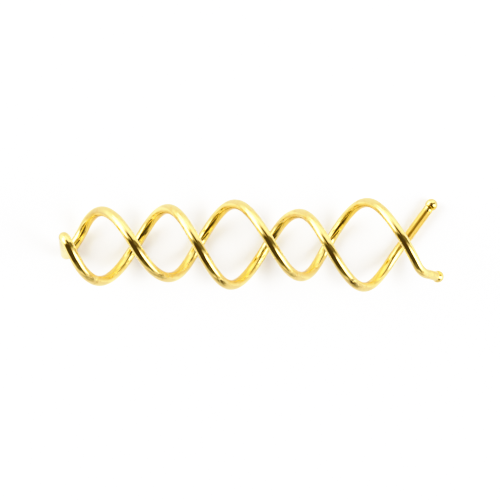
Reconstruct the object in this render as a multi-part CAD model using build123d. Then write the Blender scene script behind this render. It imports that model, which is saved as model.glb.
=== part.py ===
from build123d import *
from collections import namedtuple
from math import cos, radians, sin, tan
import os

# Spiral bun pin: one round wire, folded at its head, whose two legs twist round each other as a
# right-handed double helix and end in small balls. Lengths are in millimetres. X runs along the
# pin from the head to the tips, Z is up, and the pin lies on the plane z = 0.

wire_d = 2.0
ball_d = 2.4

# Distance from the helix axis to the wire's centre where a leg passes over or under the axis.
cross_r = 7.0

# The legs sink a little below their crossings, so the axis is this high over the plane, and the
# wire's centre lies at rest_z, from the axis, wherever it touches the plane.
axis_z = 8.08
rest_z = wire_d / 2 - axis_z

# The bar of the head: where the wire turns off it into each leg, and the bend there.
low_corner = Vector(-36.25, -2.4, rest_z)
high_corner = Vector(-36.5, 2.05, cross_r)
elbow_r = 1.5

# The run of one leg. Each half turn starts where the leg crosses the axis, over or under it,
# and has its widest point, or apex, a quarter turn on.
HalfTurn = namedtuple("HalfTurn", "cross_x apex_x apex_r")

low_leg = [
    HalfTurn(cross_x=-33.9, apex_x=-29.2, apex_r=6.5),
    HalfTurn(cross_x=-22.7, apex_x=-16.05, apex_r=6.3),
    HalfTurn(cross_x=-10.35, apex_x=-3.25, apex_r=7.95),
    HalfTurn(cross_x=3.95, apex_x=9.75, apex_r=6.15),
    HalfTurn(cross_x=14.9, apex_x=22.45, apex_r=8.3),
    HalfTurn(cross_x=30.1, apex_x=35.5, apex_r=5.5),
]
high_leg = [
    HalfTurn(cross_x=-35.2, apex_x=-29.55, apex_r=7.05),
    HalfTurn(cross_x=-22.55, apex_x=-16.3, apex_r=7.0),
    HalfTurn(cross_x=-10.4, apex_x=-4.0, apex_r=7.85),
    HalfTurn(cross_x=3.15, apex_x=9.25, apex_r=6.05),
    HalfTurn(cross_x=14.8, apex_x=21.95, apex_r=8.3),
    HalfTurn(cross_x=29.3, apex_x=36.5, apex_r=7.8),
]

# Corners of the polyline that follows a leg lie this far apart about the axis. They stand
# outside the helix, so that the bends between them run along it.
corner_step = 30

# Past these angles the legs leave the helix. The low leg comes over the top and flares out at
# one last corner, and the high leg runs straight to its ball, which touches the plane.
low_last_angle = 915
low_flare = Vector(32.85, -5.35, 4.9)
low_end = Vector(36.28, -6.2, -0.3)
high_last_angle = 885
high_end = Vector(35.2, 7.84, rest_z + (ball_d - wire_d) / 2)


def between(values, quarter_turns):
    """Smooth value at a place along a leg, from the values at each quarter turn."""
    i = min(int(quarter_turns), len(values) - 2)
    f = quarter_turns - i
    a = values[max(i - 1, 0)]
    b = values[i]
    c = values[i + 1]
    d = values[min(i + 2, len(values) - 1)]
    bow = (2 * a - 5 * b + 4 * c - d) + f * (3 * (b - c) + d - a)
    return b + 0.5 * f * ((c - a) + f * bow)


def leg_point(leg, angle, start_angle, spread):
    """Point on a leg's centre line, angle degrees past its first crossing of the axis."""
    along = [x for turn in leg for x in (turn.cross_x, turn.apex_x)]
    out = [r for turn in leg for r in (cross_r, turn.apex_r)]
    r = spread * between(out, angle / 90)
    about = radians(start_angle + angle)
    return Vector(between(along, angle / 90), r * sin(about), -r * cos(about))


def leg_corners(leg, start_angle, last_angle):
    spread = 1 / cos(radians(corner_step / 2))
    angles = range(corner_step // 2, last_angle + 1, corner_step)
    return [leg_point(leg, angle, start_angle, spread) for angle in angles]


def bend_radius(before, corner, after):
    """The widest bend that leaves a short straight run on each side of a corner."""
    turn = radians((corner - before).get_angle(after - corner))
    room = 0.48 * min((corner - before).length, (after - corner).length)
    return room / tan(turn / 2)


def wire_path():
    """Centre line of the whole wire, from the low leg's ball round the head to the high leg's."""
    low = leg_corners(low_leg, 0, low_last_angle) + [low_flare, low_end]
    high = leg_corners(high_leg, 180, high_last_angle) + [high_end]
    points = low[::-1] + [low_corner, high_corner] + high
    radii = []
    for before, corner, after in zip(points, points[1:], points[2:]):
        at_head = corner in (low_corner, high_corner)
        radii.append(elbow_r if at_head else bend_radius(before, corner, after))
    return FilletPolyline(*points, radius=radii)


def make_pin():
    path = wire_path()
    start = Plane(origin=path @ 0, z_dir=path % 0)
    pin = sweep(start * Circle(wire_d / 2), path=path)
    for end in (path @ 0, path @ 1):
        pin += Pos(*end) * Sphere(ball_d / 2)
    return Pos(0, 0, axis_z) * pin


os.makedirs("parts", exist_ok=True)
export_step(make_pin(), "parts/pin.step")
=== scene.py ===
import math
import bmesh
import bpy
import numpy as np
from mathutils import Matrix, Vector


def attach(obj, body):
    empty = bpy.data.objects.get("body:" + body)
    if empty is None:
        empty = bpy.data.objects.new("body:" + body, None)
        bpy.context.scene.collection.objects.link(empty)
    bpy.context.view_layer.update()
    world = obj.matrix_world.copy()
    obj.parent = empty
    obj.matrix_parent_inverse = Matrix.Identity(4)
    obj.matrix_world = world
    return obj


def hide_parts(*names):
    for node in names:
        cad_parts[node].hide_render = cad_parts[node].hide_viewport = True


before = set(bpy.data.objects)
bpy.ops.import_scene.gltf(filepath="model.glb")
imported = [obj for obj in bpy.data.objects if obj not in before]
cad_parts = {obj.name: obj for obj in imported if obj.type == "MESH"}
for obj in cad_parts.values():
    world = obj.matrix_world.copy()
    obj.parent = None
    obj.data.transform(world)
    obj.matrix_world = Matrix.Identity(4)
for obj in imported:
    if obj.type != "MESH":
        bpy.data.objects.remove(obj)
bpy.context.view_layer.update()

scene = bpy.context.scene
mm = 0.001

# The shape of the pin. Corners and ends of the route are of the wire's centre, measured from the
# axis. Each row of a leg is half a turn: where it crosses the axis, over or under it, and where
# and how wide its apex is.
pinShape = {
    # the route
    "crossRadius": 7.0 * mm,        # wire centre to axis where a leg crosses
    "axisHeight": 8.08 * mm,
    "lowCorner": (-36.25 * mm, -2.4 * mm, -7.08 * mm),      # from the head's bar to the low leg
    "highCorner": (-36.5 * mm, 2.05 * mm, 7.0 * mm),        # and to the high leg
    "elbowRadius": 1.5 * mm,
    "cornerStep": 30,               # degrees about the axis between two corners of a leg
    "bendShare": 0.48,              # how much of the shorter run beside a corner its bend takes
    "bendSteps": 12,
    "lowLastAngle": 915,
    "highLastAngle": 885,
    "lowFlare": (32.85 * mm, -5.35 * mm, 4.9 * mm),
    "lowEnd": (36.28 * mm, -6.2 * mm, -0.3 * mm),
    "highEnd": (35.2 * mm, 7.84 * mm, -6.88 * mm),
    "smoothing": 0.45 * mm,         # eases the change from a run to a bend
    "lowLeg": [
        {"crossX": -33.9 * mm, "apexX": -29.2 * mm, "apexRadius": 6.5 * mm},
        {"crossX": -22.7 * mm, "apexX": -16.05 * mm, "apexRadius": 6.3 * mm},
        {"crossX": -10.35 * mm, "apexX": -3.25 * mm, "apexRadius": 7.95 * mm},
        {"crossX": 3.95 * mm, "apexX": 9.75 * mm, "apexRadius": 6.15 * mm},
        {"crossX": 14.9 * mm, "apexX": 22.45 * mm, "apexRadius": 8.3 * mm},
        {"crossX": 30.1 * mm, "apexX": 35.5 * mm, "apexRadius": 5.5 * mm},
    ],
    "highLeg": [
        {"crossX": -35.2 * mm, "apexX": -29.55 * mm, "apexRadius": 7.05 * mm},
        {"crossX": -22.55 * mm, "apexX": -16.3 * mm, "apexRadius": 7.0 * mm},
        {"crossX": -10.4 * mm, "apexX": -4.0 * mm, "apexRadius": 7.85 * mm},
        {"crossX": 3.15 * mm, "apexX": 9.25 * mm, "apexRadius": 6.05 * mm},
        {"crossX": 14.8 * mm, "apexX": 21.95 * mm, "apexRadius": 8.3 * mm},
        {"crossX": 29.3 * mm, "apexX": 36.5 * mm, "apexRadius": 7.8 * mm},
    ],

    # the round section of the wire and its balls
    "wireRadius": 1.0 * mm,
    "headSwell": 1.06,          # the wire is a little thicker at the head
    "tipThin": 0.95,            # and a little thinner at the balls
    "ballRadius": 1.2 * mm,
    "neckFillet": 0.03 * mm,    # plating that rounds the crease under a ball
    "neckGroove": 0.14 * mm,    # the wire is nipped in just before a ball
    "neckReach": 0.45 * mm,
    "ringStep": 0.17 * mm,
    "neckRings": 7,
    "ballRings": 22,
    "ballStart": 0.3,           # rings start this share of the way from the ball's wire side
    "sides": 40,
}


def between(values, place):
    # smooth value between the ones at each quarter turn
    i = min(int(place), len(values) - 2)
    f = place - i
    a, b, c = values[max(i - 1, 0)], values[i], values[i + 1]
    d = values[min(i + 2, len(values) - 1)]
    bow = (2 * a - 5 * b + 4 * c - d) + f * (3 * (b - c) + d - a)
    return b + 0.5 * f * ((c - a) + f * bow)


def legCorners(leg, startAngle, lastAngle):
    # corners stand a little outside the helix, so that the bends between them run along it
    step = pinShape["cornerStep"]
    spread = 1 / math.cos(math.radians(step / 2))
    along = [x for row in leg for x in (row["crossX"], row["apexX"])]
    out = [r for row in leg for r in (pinShape["crossRadius"], row["apexRadius"])]
    corners = []
    for angle in range(step // 2, lastAngle + 1, step):
        radius = spread * between(out, angle / 90)
        about = math.radians(startAngle + angle)
        x = between(along, angle / 90)
        corners.append(Vector((x, radius * math.sin(about), -radius * math.cos(about))))
    return corners


def bendPoints(before, corner, after, radius=None):
    # a bend of the wire at a corner, as wide as the shorter run allows where no radius is given
    into = (corner - before).normalized()
    away = (after - corner).normalized()
    turn = into.angle(away)
    if radius is None:
        run = min((corner - before).length, (after - corner).length)
        radius = pinShape["bendShare"] * run / math.tan(turn / 2)
    start = corner - into * radius * math.tan(turn / 2)
    inward = (away - into * math.cos(turn)) / math.sin(turn)
    angles = [turn * i / pinShape["bendSteps"] for i in range(pinShape["bendSteps"] + 1)]
    return [start + into * radius * math.sin(a) + inward * radius * (1 - math.cos(a))
            for a in angles]


def wireLine():
    # centre line from the low leg's ball, round the head, to the high leg's ball
    low = legCorners(pinShape["lowLeg"], 0, pinShape["lowLastAngle"])
    low += [Vector(pinShape["lowFlare"]), Vector(pinShape["lowEnd"])]
    high = legCorners(pinShape["highLeg"], 180, pinShape["highLastAngle"])
    high.append(Vector(pinShape["highEnd"]))
    head = [Vector(pinShape["lowCorner"]), Vector(pinShape["highCorner"])]
    corners = low[::-1] + head + high
    line = [corners[0]]
    for before, corner, after in zip(corners, corners[1:], corners[2:]):
        radius = pinShape["elbowRadius"] if corner in head else None
        line += bendPoints(before, corner, after, radius)
    line.append(corners[-1])
    return np.array([tuple(p) for p in line]) + (0, 0, pinShape["axisHeight"])


def evenly(points, step):
    # the same line with evenly spaced points
    lengths = np.linalg.norm(np.diff(points, axis=0), axis=1)
    at = np.concatenate(([0], np.cumsum(lengths)))
    count = int(round(at[-1] / step)) + 1
    places = np.linspace(0, at[-1], count)
    return np.stack([np.interp(places, at, points[:, i]) for i in range(3)], axis=1)


def eased(points, step, reach):
    # runs and bends flow into each other over this reach, and the ends stay put
    half = int(3 * reach / step)        # past three times the reach the weight is next to nothing
    weights = np.exp(-0.5 * (np.arange(-half, half + 1) * step / reach) ** 2)
    weights /= weights.sum()
    padded = np.concatenate((
        2 * points[0] - points[half:0:-1], points, 2 * points[-1] - points[-2:-half - 2:-1]))
    return np.stack([np.convolve(padded[:, i], weights, "valid") for i in range(3)], axis=1)


def softMax(a, b, reach):
    # the larger of two sizes, rounded off where they are nearly the same
    overlap = max(reach - abs(a - b), 0) / reach
    return max(a, b) + overlap * overlap * reach / 4


def neckRadius(distance):
    # radius of the wire this far before a ball's centre
    wireEnd = pinShape["wireRadius"] * pinShape["tipThin"]
    crease = math.sqrt(pinShape["ballRadius"] ** 2 - wireEnd ** 2)
    share = min(max((distance - crease) / pinShape["neckReach"], 0), 1)
    return wireEnd - pinShape["neckGroove"] * (1 - share) ** 2


def ballProfile():
    # (distance beyond the ball's centre, radius) from the wire over the neck to the pole
    ball, start, count = pinShape["ballRadius"], pinShape["ballStart"], pinShape["ballRings"]
    onBall = [-ball * math.cos(math.pi * (start + (1 - start) * i / count))
              for i in range(count + 1)]
    onNeck = np.linspace(-ball - pinShape["neckReach"], onBall[0], pinShape["neckRings"] + 1)[:-1]
    rings = []
    for along in [*onNeck, *onBall]:
        radius = math.sqrt(max(ball * ball - along * along, 0))
        if along < 0:
            radius = softMax(radius, neckRadius(-along), pinShape["neckFillet"])
        rings.append((float(along), float(radius)))
    return rings


def wireRings():
    # centre, radius and length along the wire of every ring, balls included
    step = pinShape["ringStep"]
    line = eased(evenly(wireLine(), step), step, pinShape["smoothing"])
    count = len(line)
    along = np.arange(count) * step
    profile = ballProfile()
    neck = int(math.ceil(-profile[0][0] / step)) + 1    # points of the line that it stands for
    headAt = int(np.argmin(line[:, 0]))
    share = np.abs(np.arange(count) - headAt) / max(headAt, count - headAt)
    taper = pinShape["tipThin"] - pinShape["headSwell"]
    swell = pinShape["headSwell"] + taper * np.minimum(share, 1)
    rings = [(Vector(line[i]), float(pinShape["wireRadius"] * swell[i]), float(along[i]))
             for i in range(neck, count - neck)]
    startOut = Vector(line[0] - line[1]).normalized()
    endOut = Vector(line[-1] - line[-2]).normalized()
    startBall = [(Vector(line[0]) + startOut * d, r, -d) for d, r in profile][::-1]
    endBall = [(Vector(line[-1]) + endOut * d, r, float(along[-1]) + d) for d, r in profile]
    return startBall + rings + endBall


def sweptMesh(name, rings, sides):
    # a closed tube through the rings, with u round it and v along it in metres
    pole = 1e-7         # a ring smaller than this is a single point
    centres = [c for c, r, s in rings]
    tangents = [(centres[min(i + 1, len(rings) - 1)] - centres[max(i - 1, 0)]).normalized()
                for i in range(len(rings))]
    side = tangents[0].orthogonal().normalized()
    mesh = bmesh.new()
    uv = mesh.loops.layers.uv.new("wire")
    loops = []
    for i, (centre, radius, along) in enumerate(rings):
        if i:
            side = (tangents[i - 1].rotation_difference(tangents[i]) @ side).normalized()
        other = tangents[i].cross(side)
        if radius < pole:
            loops.append([mesh.verts.new(centre)])
            continue
        turns = [2 * math.pi * k / sides for k in range(sides)]
        outward = [math.cos(t) * side + math.sin(t) * other for t in turns]
        loops.append([mesh.verts.new(centre + radius * way) for way in outward])
    for i, (near, far) in enumerate(zip(loops, loops[1:])):
        low, high = rings[i][2], rings[i + 1][2]
        for k in range(sides):
            m = (k + 1) % sides
            u, w = k / sides, (k + 1) / sides
            if len(near) == 1:
                face = mesh.faces.new((near[0], far[m], far[k]))
                marks = [(u, low), (w, high), (u, high)]
            elif len(far) == 1:
                face = mesh.faces.new((near[k], near[m], far[0]))
                marks = [(u, low), (w, low), (u, high)]
            else:
                face = mesh.faces.new((near[k], near[m], far[m], far[k]))
                marks = [(u, low), (w, low), (w, high), (u, high)]
            face.smooth = True
            for loop, mark in zip(face.loops, marks):
                loop[uv].uv = mark
    bmesh.ops.recalc_face_normals(mesh, faces=mesh.faces)
    data = bpy.data.meshes.new(name)
    mesh.to_mesh(data)
    mesh.free()
    piece = bpy.data.objects.new(name, data)
    scene.collection.objects.link(piece)
    return piece


def nodeMaker(tree):
    # short way to add a node, set its inputs and link them
    def make(kind, inputs=None, **settings):
        node = tree.nodes.new(kind)
        for key, value in settings.items():
            setattr(node, key, value)
        for key, value in (inputs or {}).items():
            socket = node.inputs[key]
            if isinstance(value, bpy.types.NodeSocket):
                tree.links.new(value, socket)
            elif socket.type == "RGBA":
                socket.default_value = (*value, 1)
            else:
                socket.default_value = value
        return node
    return make


def reckon(make, operation, *values):
    # result of a Math node
    return make("ShaderNodeMath", dict(enumerate(values)), operation=operation).outputs[0]


def span(make, value, start, end, first=0.0, last=1.0, ease="LINEAR"):
    # goes from the first value to the last while the input goes from start to end
    node = make("ShaderNodeMapRange", {
        "Value": value, "From Min": start, "From Max": end, "To Min": first, "To Max": last},
        interpolation_type=ease)
    return node.outputs["Result"]


def fade(make, value, start, end, first=0.0, last=1.0):
    # the same, starting and ending gently
    return span(make, value, start, end, first, last, "SMOOTHSTEP")


def mixValue(make, share, first, second):
    return make("ShaderNodeMix", {0: share, 2: first, 3: second}, data_type="FLOAT").outputs[0]


def mixColour(make, share, first, second):
    return make("ShaderNodeMix", {0: share, 6: first, 7: second}, data_type="RGBA").outputs[2]


def noise(make, vector, scale, detail, distortion=0.0):
    node = make("ShaderNodeTexNoise", {
        "Vector": vector, "Scale": scale, "Detail": detail, "Distortion": distortion})
    return node.outputs["Fac"]


def bump(make, height, depth, normal=None, **settings):
    inputs = {"Height": height, "Strength": 1.0, "Distance": depth}
    if normal:
        inputs["Normal"] = normal
    return make("ShaderNodeBump", inputs, **settings).outputs["Normal"]


# Polished gold plating under a clear lacquer. Pairs give where a change starts and where it ends.
goldLook = {
    "plate": (1.0, 0.725, 0.24),
    "innerReflectionGold": (1.0, 0.62, 0.105),         # painted reflection: deeper gold where the bends face the axis, for the shaded table and wire they mirror
    "innerReflectionEdge": (0.0, 0.5),             # by how squarely the surface faces the axis from the side
    "innerReflectionSway": 0.25,                   # how much the edge of the painted reflection wavers
    "swayPerMetre": 260.0,
    "warm": (1.0, 0.6, 0.15),           # faint blotches all over
    "blotches": 0.8,                    # how strong the blotches are
    "blotchEdge": (0.5, 0.72),
    "blotchSize": 0.8 * mm,
    "mirrored": (1.0, 0.87, 0.5),       # the pin as its own wire mirrors it
    "roughness": 0.025,
    "hazeRoughness": 0.07,
    "hazeEdge": (0.4, 0.8),
    "coat": 0.5,
    "coatRoughness": 0.02,
    "rippleSize": 2.2 * mm,             # uneven hand of the twisting
    "rippleDepth": 0.016 * mm,
    "drawLines": (30.0, 160.0),         # round the wire, and in a metre of it
    "drawLineDepth": 0.006 * mm,
    # the straight end of the high leg is duller, with a painted dark reflection along its top, as
    # far as its polished ball
    "satin": (0.96, 0.65, 0.17),
    "satinLength": 14.0 * mm,
    "satinFade": 0.25,                  # share of that length over which it sets in
    "satinStop": (2.0, 2.5),            # ball radii from the tip, between which it ends
    "satinRoughness": 0.36,
    "satinCoat": 0.8,                   # the lacquer's roughness there, against the plating's
    # painted reflection of the dark studio overhead, along the top of the straight end
    "topReflectionDark": (0.64, 0.38, 0.08),
    "topReflectionEdge": (0.5, 0.74),            # by how far up the surface faces
    # marks of the bending tool where a leg comes down to a near bend
    "markStart": (0.1, 0.2),            # angle above the axis, seen from it, in radians
    "markEnd": (0.75, 0.6),
    "markWidth": 0.9 * mm,
    "markLength": 1.8 * mm,
    "markTwist": 0.6,                   # how crooked the marks are
    "markDepth": 0.05 * mm,
    "markEdge": (0.4, 0.62),
    "scuffAndDarkReflection": (0.06, 0.035, 0.01),       # scratches round the marks, painted near-black as the thin tail of a dark reflection
    "darkLineMiddle": 0.5,                 # where they lie in the marks' relief
    "darkLineWidth": 0.09,                 # share of the relief that carries the dark lines
    "darkLineCore": 0.4,                   # share of that width that is fully dark
    "darkLineTop": (0.5, 0.75),            # by how far up the surface faces
}


def insideBends(make, place, across, facing):
    # 1 where the surface of a bend faces the axis from the side, where the gold is painted deeper
    # as a reflection
    cloud = noise(make, place, goldLook["swayPerMetre"], 3.0)
    sway = span(make, cloud, 0.0, 1.0, -goldLook["innerReflectionSway"], goldLook["innerReflectionSway"])
    share = reckon(make, "DIVIDE", across, -pinShape["crossRadius"])
    inward = reckon(make, "MULTIPLY_ADD", share, facing, sway)
    return fade(make, inward, *goldLook["innerReflectionEdge"])


def straightEnd(make, along, wireLength):
    # 1 on the satin stretch, which stops short of the ball
    length, ball = goldLook["satinLength"], pinShape["ballRadius"]
    full = (1 - goldLook["satinFade"]) * length
    nearEnd, farEnd = goldLook["satinStop"]
    begun = fade(make, along, wireLength - length, wireLength - full)
    offBall = fade(make, along, wireLength - nearEnd * ball, wireLength - farEnd * ball)
    return reckon(make, "MULTIPLY", begun, offBall)


def toolMarks(make, wireUv, across, up, facingUp):
    # masks of the pressed marks and of the scratches round them, whose near-black is partly a
    # painted reflection
    rise = reckon(make, "SUBTRACT", up, pinShape["axisHeight"])
    nearSide = reckon(make, "MULTIPLY", across, -1.0)
    height = reckon(make, "ARCTAN2", rise, nearSide)
    below = fade(make, height, *goldLook["markStart"])
    above = fade(make, height, *goldLook["markEnd"])
    marked = reckon(make, "MULTIPLY", below, above)
    around = 2 * math.pi * pinShape["wireRadius"]
    press = make("ShaderNodeMapping", {"Vector": wireUv, "Scale": (
        around / goldLook["markWidth"], 1 / goldLook["markLength"], 1.0)})
    relief = noise(make, press.outputs["Vector"], 1.0, 2.0, goldLook["markTwist"])
    fromMiddle = reckon(make, "SUBTRACT", relief, goldLook["darkLineMiddle"])
    rim = reckon(make, "ABSOLUTE", fromMiddle)
    width = goldLook["darkLineWidth"]
    scratchAndDarkReflection = fade(make, rim, width, goldLook["darkLineCore"] * width)
    onTop = reckon(make, "MULTIPLY", scratchAndDarkReflection, fade(make, facingUp, *goldLook["darkLineTop"]))
    pressed = fade(make, relief, *goldLook["markEdge"])
    return reckon(make, "MULTIPLY", pressed, marked), reckon(make, "MULTIPLY", onTop, marked)


def goldMaterial(wireLength):
    material = bpy.data.materials.new("gold plate")
    material.use_nodes = True
    tree = material.node_tree
    tree.nodes.clear()
    make = nodeMaker(tree)
    place = make("ShaderNodeTexCoord").outputs["Object"]
    wireUv = make("ShaderNodeUVMap", uv_map="wire").outputs["UV"]
    along = make("ShaderNodeSeparateXYZ", {"Vector": wireUv}).outputs["Y"]
    spot = make("ShaderNodeSeparateXYZ", {"Vector": place}).outputs
    shape = make("ShaderNodeNewGeometry")
    facing = make("ShaderNodeSeparateXYZ", {"Vector": shape.outputs["Normal"]}).outputs

    innerReflectionShare = insideBends(make, place, spot["Y"], facing["Y"])
    satin = straightEnd(make, along, wireLength)
    pressed, scuffedAndDarkReflection = toolMarks(make, wireUv, spot["Y"], spot["Z"], facing["Z"])

    # colour
    grain = noise(make, place, 1 / goldLook["blotchSize"], 3.0)
    blotch = span(make, grain, *goldLook["blotchEdge"], last=goldLook["blotches"])
    plate = mixColour(make, blotch, goldLook["plate"], goldLook["warm"])
    # painted reflection: the sides of the bends that face the axis are deeper gold
    bright = mixColour(make, innerReflectionShare, plate, goldLook["innerReflectionGold"])
    # painted reflection: the upward face of the straight end is darkened
    topReflectionShare = fade(make, facing["Z"], *goldLook["topReflectionEdge"])
    dull = mixColour(make, topReflectionShare, goldLook["satin"], goldLook["topReflectionDark"])
    plated = mixColour(make, satin, bright, dull)
    # scratches painted near-black, partly as the thin tail of a dark reflection
    direct = mixColour(make, scuffedAndDarkReflection, plated, goldLook["scuffAndDarkReflection"])
    ray = make("ShaderNodeLightPath")
    colour = mixColour(make, ray.outputs["Is Glossy Ray"], direct, goldLook["mirrored"])

    # gloss
    haze = span(make, grain, *goldLook["hazeEdge"],
                goldLook["roughness"], goldLook["hazeRoughness"])
    rough = mixValue(make, satin, haze, goldLook["satinRoughness"])
    coatRough = span(make, satin, 0.0, 1.0, goldLook["coatRoughness"],
                     goldLook["satinCoat"] * goldLook["satinRoughness"])

    # relief
    ripple = noise(make, place, 1 / goldLook["rippleSize"], 1.0)
    rippled = bump(make, ripple, goldLook["rippleDepth"])
    stretch = make("ShaderNodeMapping", {"Vector": wireUv, "Scale": (*goldLook["drawLines"], 1.0)})
    lines = noise(make, stretch.outputs["Vector"], 1.0, 2.0)
    drawn = bump(make, lines, goldLook["drawLineDepth"], rippled)
    marked = bump(make, pressed, goldLook["markDepth"], drawn, invert=True)

    shader = make("ShaderNodeBsdfPrincipled", {
        "Base Color": colour, "Roughness": rough, "Metallic": 1.0, "Normal": marked,
        "Coat Weight": goldLook["coat"], "Coat Roughness": coatRough})
    make("ShaderNodeOutputMaterial", {"Surface": shader.outputs["BSDF"]})
    return material


# The studio round the pin is a grey room with soft rounded patches, light or dark. Their centres
# and half sizes are measured in a flattened sky, where straight up is (0, 0) and the horizon is a
# circle of radius 1. A later patch lies over the ones before it.
studio = {
    "room": 0.8,
    "patches": [
        {"name": "near side", "centre": (-0.429, -1.288), "turn": -4, "half": (0.691, 0.576),
         "edge": 0.25, "light": 1.12},
        {"name": "left window", "centre": (-0.798, 0.173), "turn": -13.5, "half": (0.425, 0.28),
         "edge": 0.15, "light": 4.6},
        {"name": "left wall", "centre": (-0.46, 0.552), "turn": -35, "half": (0.335, 0.188),
         "edge": 0.25, "light": 3.1},
        {"name": "right window", "centre": (0.65, -0.178), "turn": -11.4, "half": (0.403, 0.216),
         "edge": 0.15, "light": 4.4},
        {"name": "right wall", "centre": (0.232, 0.655), "turn": -13.7, "half": (0.5, 0.26),
         "edge": 0.8, "light": 1.7},
        {"name": "under right", "centre": (0.425, -0.518), "turn": -39, "half": (1.055, 0.162),
         "edge": 0.12, "light": 0.76},
        {"name": "stand", "centre": (-0.314, -0.495), "turn": -4, "half": (0.557, 0.36),
         "edge": 0.2, "light": 0.2},
        {"name": "shade", "centre": (-0.235, -0.3), "turn": 33, "half": (0.5, 0.29),
         "edge": 0.16, "light": 0.11},
        {"name": "camera", "centre": (0.041, 0.156), "turn": -22, "half": (0.246, 0.114),
         "edge": 0.16, "light": 0.055},
        {"name": "boom", "centre": (0.471, 0.258), "turn": 23, "half": (0.448, 0.101),
         "edge": 0.3, "light": 0.23},
        {"name": "card", "centre": (0.285, -0.52), "turn": -64, "half": (0.36, 0.12),
         "edge": 0.2, "light": 0.08},
    ],
    # low lamps that whiten the table and aren't mirrored in the pin
    "lamps": [
        {"name": "left lamp", "bearing": 170, "height": 30, "spread": 50, "light": 2.7},
        {"name": "right lamp", "bearing": -15, "height": 32, "spread": 50, "light": 2.5},
    ],
}


def skyPatchGroup():
    # mask of one rounded patch in the flattened sky: 1 inside, fading to 0 over its edge
    group = bpy.data.node_groups.new("sky patch", "ShaderNodeTree")
    for name, kind in (("Sky", "Vector"), ("Centre", "Vector"), ("Turn", "Float"),
                       ("Half", "Vector"), ("Edge", "Float")):
        group.interface.new_socket(name, in_out="INPUT", socket_type="NodeSocket" + kind)
    group.interface.new_socket("Mask", in_out="OUTPUT", socket_type="NodeSocketFloat")
    make = nodeMaker(group)
    given = make("NodeGroupInput").outputs
    away = make("ShaderNodeVectorMath", {0: given["Sky"], 1: given["Centre"]},
                operation="SUBTRACT")
    turned = make("ShaderNodeVectorRotate", {"Vector": away.outputs[0], "Angle": given["Turn"]},
                  rotation_type="Z_AXIS", invert=True)
    scaled = make("ShaderNodeVectorMath", {0: turned.outputs[0], 1: given["Half"]},
                  operation="DIVIDE")
    reach = make("ShaderNodeVectorMath", {0: scaled.outputs[0]}, operation="LENGTH")
    start = reckon(make, "SUBTRACT", 1.0, given["Edge"])
    end = reckon(make, "ADD", 1.0, given["Edge"])
    mask = fade(make, reach.outputs["Value"], start, end, 1.0, 0.0)
    make("NodeGroupOutput", {"Mask": mask})
    return group


def studioWorld():
    world = bpy.data.worlds.new("studio")
    world.use_nodes = True
    tree = world.node_tree
    tree.nodes.clear()
    make = nodeMaker(tree)
    where = make("ShaderNodeTexCoord")
    parts = make("ShaderNodeSeparateXYZ", {"Vector": where.outputs["Generated"]}).outputs
    rise = reckon(make, "ADD", parts["Z"], 1.001)   # never quite 0, even straight down
    level = make("ShaderNodeCombineXYZ", {"X": parts["X"], "Y": parts["Y"]})
    flatten = reckon(make, "DIVIDE", 1.0, rise)
    sky = make("ShaderNodeVectorMath", {0: level.outputs[0], "Scale": flatten}, operation="SCALE")
    group = skyPatchGroup()
    light = studio["room"]
    for patch in studio["patches"]:
        mask = make("ShaderNodeGroup", {
            "Sky": sky.outputs[0], "Centre": (*patch["centre"], 0), "Half": (*patch["half"], 1),
            "Turn": math.radians(patch["turn"]), "Edge": patch["edge"]}, node_tree=group)
        light = mixValue(make, mask.outputs["Mask"], light, patch["light"])
    back = make("ShaderNodeBackground", {"Color": (1, 1, 1), "Strength": light})
    make("ShaderNodeOutputWorld", {"Surface": back.outputs[0]})
    scene.world = world


# The white table. The pin mirrors it greyer than the camera sees it, by how far off and which way:
# painted shade and light in its reflection.
table = {
    "size": 2.0,
    "colour": 0.9,
    "roughness": 0.9,
    "underTone": 0.76,      # under the pin
    "nearTone": 0.55,
    "sideTone": 0.95,       # far off along the pin
    "backTone": 0.56,       # far off behind the pin
    "frontTone": 0.29,      # and before it
    "underReach": 9.5 * mm,     # how far from the pin's middle line each tone lies
    "nearReach": 12.5 * mm,
    "farReach": 52 * mm,
    "pinHalf": 30 * mm,         # half of that line's length
}


def tableMaterial():
    material = bpy.data.materials.new("white table")
    material.use_nodes = True
    tree = material.node_tree
    tree.nodes.clear()
    make = nodeMaker(tree)
    place = make("ShaderNodeTexCoord").outputs["Object"]
    parts = make("ShaderNodeSeparateXYZ", {"Vector": place}).outputs
    # the way off from the nearest point of the pin's middle line
    length = reckon(make, "ABSOLUTE", parts["X"])
    beyond = reckon(make, "SUBTRACT", length, table["pinHalf"])
    side = reckon(make, "MAXIMUM", beyond, 0.0)
    away = make("ShaderNodeCombineXYZ", {"X": side, "Y": parts["Y"]}).outputs[0]
    reach = make("ShaderNodeVectorMath", {0: away}, operation="LENGTH").outputs["Value"]
    way = make("ShaderNodeVectorMath", {0: away}, operation="NORMALIZE")
    ways = make("ShaderNodeSeparateXYZ", {"Vector": way.outputs[0]}).outputs
    # painted shade and light of the table, as the pin mirrors it
    across = span(make, ways["Y"], -1.0, 1.0, table["frontTone"], table["backTone"])
    sideShare = reckon(make, "MULTIPLY", ways["X"], ways["X"])
    far = mixValue(make, sideShare, across, table["sideTone"])
    near = fade(make, reach, table["underReach"], table["nearReach"],
                table["underTone"], table["nearTone"])
    farShare = fade(make, reach, table["nearReach"], table["farReach"])
    mirrored = mixValue(make, farShare, near, far)
    ray = make("ShaderNodeLightPath")
    tone = mixValue(make, ray.outputs["Is Glossy Ray"], table["colour"], mirrored)
    shader = make("ShaderNodeBsdfPrincipled", {
        "Base Color": tone, "Roughness": table["roughness"], "Specular IOR Level": 0.0})
    make("ShaderNodeOutputMaterial", {"Surface": shader.outputs["BSDF"]})
    return material


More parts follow.
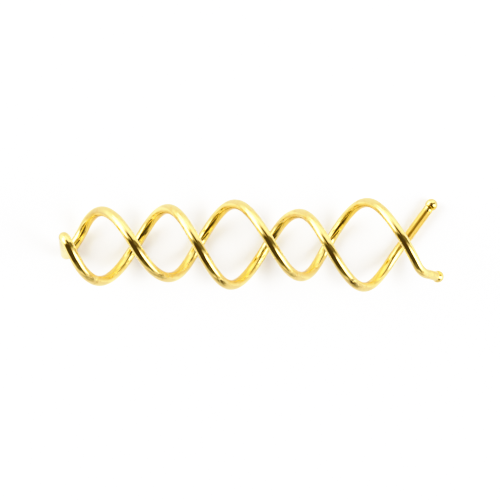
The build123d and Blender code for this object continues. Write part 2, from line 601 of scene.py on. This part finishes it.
def floorPiece():
    mesh = bmesh.new()
    bmesh.ops.create_grid(mesh, x_segments=1, y_segments=1, size=table["size"])
    data = bpy.data.meshes.new("floor")
    mesh.to_mesh(data)
    mesh.free()
    floor = bpy.data.objects.new("floor", data)
    scene.collection.objects.link(floor)
    data.materials.append(tableMaterial())


def tableLamps():
    for row in studio["lamps"]:
        data = bpy.data.lights.new(row["name"], "SUN")
        data.energy = row["light"]
        data.angle = math.radians(row["spread"])
        lamp = bpy.data.objects.new(row["name"], data)
        scene.collection.objects.link(lamp)
        tilt = math.radians(90 - row["height"])
        lamp.rotation_euler = (0, tilt, math.radians(row["bearing"]))
        lamp.visible_glossy = False


# The camera looks straight down.
cameraLook = {
    "centre": (-0.2824 * mm, -1.0127 * mm, 8.08 * mm),
    "frameWidth": 97.4 * mm,        # width of the view at the axis
    "lens": 600.0,
    "sensor": 36.0,
    "farthest": 50.0,
}


def setCamera():
    data = bpy.data.cameras.new("camera")
    camera = bpy.data.objects.new("camera", data)
    scene.collection.objects.link(camera)
    data.lens = cameraLook["lens"]
    data.sensor_width = cameraLook["sensor"]
    data.clip_end = cameraLook["farthest"]
    distance = cameraLook["frameWidth"] * cameraLook["lens"] / cameraLook["sensor"]
    camera.location = Vector(cameraLook["centre"]) + Vector((0, 0, distance))
    scene.camera = camera


# The tones of a bright print: each pair is linear light, and what is printed for it.
film = {
    "white": 2.2,
    "tones": ((0, 0), (0.03, 0.004), (0.0566, 0.0159), (0.0808, 0.0356), (0.1155, 0.072),
              (0.165, 0.13), (0.236, 0.215), (0.337, 0.338), (0.482, 0.478), (0.7, 0.685),
              (0.96, 0.88), (1.25, 0.97), (1.6, 0.998), (2.2, 1.0)),
}


def filmLook():
    view = scene.view_settings
    view.view_transform = "Standard"
    view.look = "None"
    view.use_curve_mapping = True
    curves = view.curve_mapping
    curves.extend = "HORIZONTAL"
    curves.white_level = [film["white"]] * 3
    points = curves.curves[3].points
    for light, tone in film["tones"][1:-1]:     # the curve has its two ends already
        points.new(light / film["white"], tone)
    curves.update()


setCamera()
print("camera set")
floorPiece()
studioWorld()
tableLamps()
print("studio set")

rings = wireRings()
pin = sweptMesh("pin_wire", rings, pinShape["sides"])
pin.data.materials.append(goldMaterial(rings[-1][2]))
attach(pin, "root")
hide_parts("pin")
print("pin made:", len(pin.data.polygons), "faces")

filmLook()
print("print tones set")
